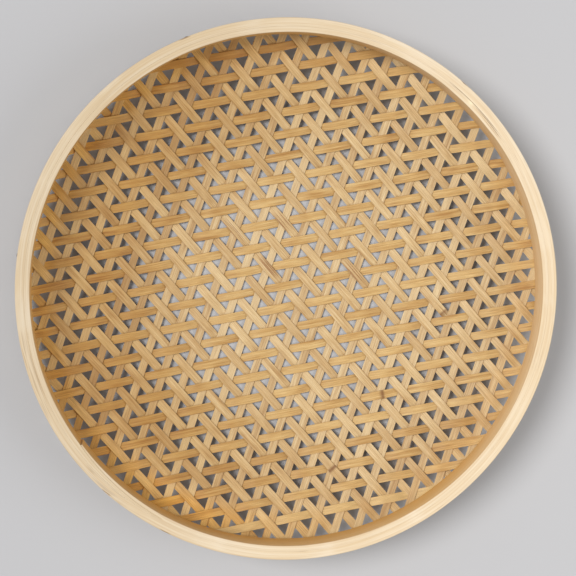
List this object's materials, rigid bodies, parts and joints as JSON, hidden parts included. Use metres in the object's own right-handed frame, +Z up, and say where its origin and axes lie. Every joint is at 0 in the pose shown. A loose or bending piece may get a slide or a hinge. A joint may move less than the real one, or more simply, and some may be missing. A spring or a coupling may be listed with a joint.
{
  "type": "winnowing basket",
  "caption": "Shallow round bamboo sieve: a net of flat splints woven in three directions, held between two bent hoops, for tossing and sifting grain.",
  "frame": {"origin": "on the ground, below the middle of the rim; the belly of the net touches the ground there", "axes": "+Z up out of the open side; +X to the right and +Y away, seen from above with the cross splints rising a little to the right"},
  "size_m": [0.36, 0.36, 0.046],
  "materials": {
    "hoop_bamboo": "shaved pale bamboo, satin, fine long grain",
    "cross_bamboo": "golden tan bamboo skin, satin, fine long fibres",
    "left_bamboo": "light tan split bamboo, satin, fine long fibres",
    "right_bamboo": "pale split bamboo, satin, fine long fibres",
    "nail_steel": "dull dark steel, slightly rusted"
  },
  "bodies": {
    "root": {"cross_splint_01": "cross_bamboo", "cross_splint_02": "cross_bamboo", "cross_splint_03": "cross_bamboo", "cross_splint_04": "cross_bamboo", "cross_splint_05": "cross_bamboo", "cross_splint_06": "cross_bamboo", "cross_splint_07": "cross_bamboo", "cross_splint_08": "cross_bamboo", "cross_splint_09": "cross_bamboo", "cross_splint_10": "cross_bamboo", "cross_splint_11": "cross_bamboo", "cross_splint_12": "cross_bamboo", "cross_splint_13": "cross_bamboo", "cross_splint_14": "cross_bamboo", "cross_splint_15": "cross_bamboo", "cross_splint_16": "cross_bamboo", "cross_splint_17": "cross_bamboo", "cross_splint_18": "cross_bamboo", "cross_splint_19": "cross_bamboo", "cross_splint_20": "cross_bamboo", "cross_splint_21": "cross_bamboo", "cross_splint_22": "cross_bamboo", "cross_splint_23": "cross_bamboo", "inner_hoop": "hoop_bamboo", "left_splint_01": "left_bamboo", "left_splint_02": "left_bamboo", "left_splint_03": "left_bamboo", "left_splint_04": "left_bamboo", "left_splint_05": "left_bamboo", "left_splint_06": "left_bamboo", "left_splint_07": "left_bamboo", "left_splint_08": "left_bamboo", "left_splint_09": "left_bamboo", "left_splint_10": "left_bamboo", "left_splint_11": "left_bamboo", "left_splint_12": "left_bamboo", "left_splint_13": "left_bamboo", "left_splint_14": "left_bamboo", "left_splint_15": "left_bamboo", "left_splint_16": "left_bamboo", "left_splint_17": "left_bamboo", "left_splint_18": "left_bamboo", "left_splint_19": "left_bamboo", "left_splint_20": "left_bamboo", "left_splint_21": "left_bamboo", "left_splint_22": "left_bamboo", "left_splint_23": "left_bamboo", "outer_hoop": "hoop_bamboo", "right_splints": "right_bamboo", "rim_nail_01": "nail_steel", "rim_nail_02": "nail_steel", "rim_nail_03": "nail_steel", "rim_nail_04": "nail_steel", "rim_nail_05": "nail_steel", "rim_nail_06": "nail_steel", "rim_nail_07": "nail_steel"}
  },
  "joints": []
}
